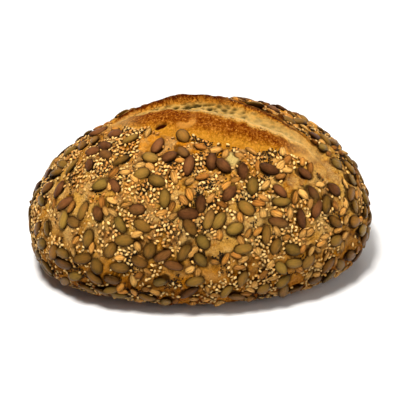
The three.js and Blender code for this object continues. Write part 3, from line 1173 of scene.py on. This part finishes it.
def crustMaterial():
    # the seeded crust, the cut's colours where it is bare and a floury sole under both
    finish = crustFinish
    material, tree, shader = newMaterial(
        "bakedCrust", Specular_IOR_Level=finish["specular"], Specular_Tint=shade(glossTint)
    )
    place = objectPlace(tree)
    height = heightAbove(tree, place)
    speckle = noise(tree, place, finish["specksPerMetre"], detail=3.0, roughness=0.7)
    grains = noise(tree, place, finish["grainsPerMetre"], detail=5.0, roughness=0.8)
    inCut = climb(tree, attribute(tree, "bareCut"), *finish["cutMask"])
    seeded = seededColour(tree, place, height, speckle)
    colour = blendColour(tree, inCut, seeded, cutColour(tree, place, grains))
    underside = calc(tree, "SUBTRACT", 1.0, times(tree, height, finish["baseGain"]), clamp=True)
    sole = placeGroup(tree, groups["dust"], {
        "Color": shade(finish["baseColour"]),
        "Dust": shade(finish["dust"]),
        "Amount": finish["baseDust"],
        "Patches per metre": finish["basePatchesPerMetre"],
    })
    colour = blendColour(tree, underside, colour, sole.outputs["Color"])
    grain = placeGroup(tree, groups["grain"], {"Grains per metre": finish["reliefPerMetre"]}).outputs[0]
    rough = plus(tree, finish["roughness"], times(tree, grain, finish["roughnessVary"]))
    relief = plus(tree, grain, times(tree, speckle, finish["speckRelief"]))
    relief = plus(tree, relief, times(tree, times(tree, grains, inCut), finish["grainRelief"]))
    finishSurface(tree, shader, colour, rough, relief, finish["bump"], finish["bumpDepth"])
    return material


def seedMaterial(name, kind):
    # a kind's own paints through the toast group, with a fine grain for gloss and bump
    material, tree, shader = newMaterial(
        name, Specular_IOR_Level=kind["specular"], Specular_Tint=shade(glossTint)
    )
    paints = {name: shade(kind[name.lower()]) for name in ("Raw", "Toasted", "Scorched", "Rim")}
    toast = placeGroup(tree, groups["toast"], {
        **paints,
        "Rim width": kind["rimAndShadeWidth"],
        "Rim strength": kind["rimAndShadeStrength"],
        "Streaks": kind["streaks"],
        "Crown browning": kind["crownBrowning"],
    })
    grain = placeGroup(tree, groups["grain"], {"Grains per metre": kind["grainsPerMetre"]}).outputs[0]
    rough = plus(tree, kind["roughness"], times(tree, grain, toasting["roughnessVary"]))
    relief = plus(tree, grain, times(tree, toast.outputs["Height"], toasting["streakRelief"]))
    colour = toast.outputs["Color"]
    finishSurface(tree, shader, colour, rough, relief, kind["bump"], toasting["bumpDepth"])
    return material


studio = {
    "aim": (0, 0, 0.0466),
    "distance": 0.9,
    "azimuth": -4.46,
    "elevation": 32.0,
    "lens": 112.4,
    "sensor": 36,
    "lights": [               # name, azimuth, elevation, distance, size, watts and colour
        ("keyLight", -30, 70, 1.1, 0.26, 17.8, (1, 0.975, 0.94)),
        ("fillLight", 50, 34, 1.2, 0.90, 3.8, (1, 0.975, 0.94)),
        ("backLight", 165, 50, 1.2, 0.90, 5.4, (1, 0.975, 0.93)),
    ],
    "roomLight": 0.10,
    "roomPaleness": 0.90,     # added where the room is seen
    "floor": "#ececec",
    "floorReach": 0.85,
    "floorDrop": 0.0002,
    "rimGlow": 0.42,          # the floor's own brightness at its rim
    "rimFrom": 0.32,          # distance from the middle where it begins, and how fast it grows
    "rimGain": 1.9,
}


def viewDirection(azimuth, elevation):
    # unit vector from the aim: azimuth turns from -Y towards +X, elevation lifts
    a, e = np.radians(azimuth), np.radians(elevation)
    return Vector((np.sin(a) * np.cos(e), -np.cos(a) * np.cos(e), np.sin(e)))


def placeStudioThing(name, data, azimuth, elevation, distance):
    # at a distance from the aim in a direction, turned to face the aim
    thing = bpy.data.objects.new(name, data)
    thing.location = Vector(studio["aim"]) + viewDirection(azimuth, elevation) * distance
    facing = Vector(studio["aim"]) - thing.location
    thing.rotation_euler = facing.to_track_quat("-Z", "Y").to_euler()
    bpy.context.scene.collection.objects.link(thing)
    return thing


def makeCamera():
    data = bpy.data.cameras.new("camera")
    data.lens, data.sensor_width = studio["lens"], studio["sensor"]
    view = (studio["azimuth"], studio["elevation"], studio["distance"])
    bpy.context.scene.camera = placeStudioThing("camera", data, *view)


def makeLight(name, azimuth, elevation, distance, size, watts, colour):
    data = bpy.data.lights.new(name, "AREA")
    data.size, data.energy, data.color = size, watts, colour
    placeStudioThing(name, data, azimuth, elevation, distance)


def makeRoom():
    # the room is pale where it is seen and dimmer as a light
    world = bpy.data.worlds.new("softRoom")
    bpy.context.scene.world = world
    world.use_nodes = True
    tree = world.node_tree
    seen = tree.nodes.new("ShaderNodeLightPath").outputs["Is Camera Ray"]
    glow = plus(tree, studio["roomLight"], times(tree, seen, studio["roomPaleness"]))
    background = tree.nodes["Background"]
    background.inputs["Color"].default_value = (1, 1, 1, 1)
    tree.links.new(glow, background.inputs["Strength"])


def makeFloor():
    # the floor brightens towards its rim, where it meets the pale room
    reach = studio["floorReach"]
    mesh = bpy.data.meshes.new("floor")
    corners = [(-reach, -reach, 0), (reach, -reach, 0), (reach, reach, 0), (-reach, reach, 0)]
    mesh.from_pydata(corners, [], [(0, 1, 2, 3)])
    floor = bpy.data.objects.new("floor", mesh)
    floor.location.z = -studio["floorDrop"]
    bpy.context.scene.collection.objects.link(floor)
    material, tree, shader = newMaterial("paleFloor", Roughness=0.8, Base_Color=shade(studio["floor"]))
    shader.inputs["Emission Strength"].default_value = studio["rimGlow"]
    away = addNode(tree, "ShaderNodeVectorMath", {0: objectPlace(tree)}, operation="LENGTH")
    rim = climb(tree, away.outputs["Value"], studio["rimFrom"], studio["rimGain"])
    tree.links.new(rim, shader.inputs["Emission Color"])
    mesh.materials.append(material)


makeCamera()
for settings in studio["lights"]:
    makeLight(*settings)
makeRoom()
makeFloor()
bpy.context.scene.view_settings.view_transform = "Standard"
print("studio ready")

nothing = (np.empty((0, 3)), np.empty(0))
pumpkinRows, taken = scatterLarge(pumpkinSeeds, "pumpkin_seed", nothing, 11)
sunflowerRows, taken = scatterLarge(sunflowerKernels, "sunflower_kernel", taken, 12)
sesameRows = scatterSmall(sesameSeeds, taken, 13)
poppyRows = scatterSmall(poppySeeds, taken, 14)

# the numbers are how far from a seed's centre its collar reaches
points, faces, attributes = bakedCrust(((pumpkinRows, 0.014), (sunflowerRows, 0.009)), sesameRows)
crust = addPiece("crust", points, faces, attributes, crustMaterial())
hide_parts("loaf")
print("crust made")

skin = seedMaterial("pumpkinSkin", pumpkinSeeds)
pumpkins = seedPiece("pumpkinSeeds", pumpkinSeeds, pumpkinRows, skin, 21)
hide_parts(*sorted(n for n in nodes if n.startswith("pumpkin_seed")))
skin = seedMaterial("kernelSkin", sunflowerKernels)
kernels = seedPiece("sunflowerKernels", sunflowerKernels, sunflowerRows, skin, 22)
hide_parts(*sorted(n for n in nodes if n.startswith("sunflower_kernel")))
skin = seedMaterial("sesameSkin", sesameSeeds)
seedPiece("sesameSeeds", sesameSeeds, sesameRows, skin, 23)
skin = seedMaterial("poppySkin", poppySeeds)
seedPiece("poppySeeds", poppySeeds, poppyRows, skin, 24)
print("seeds made")
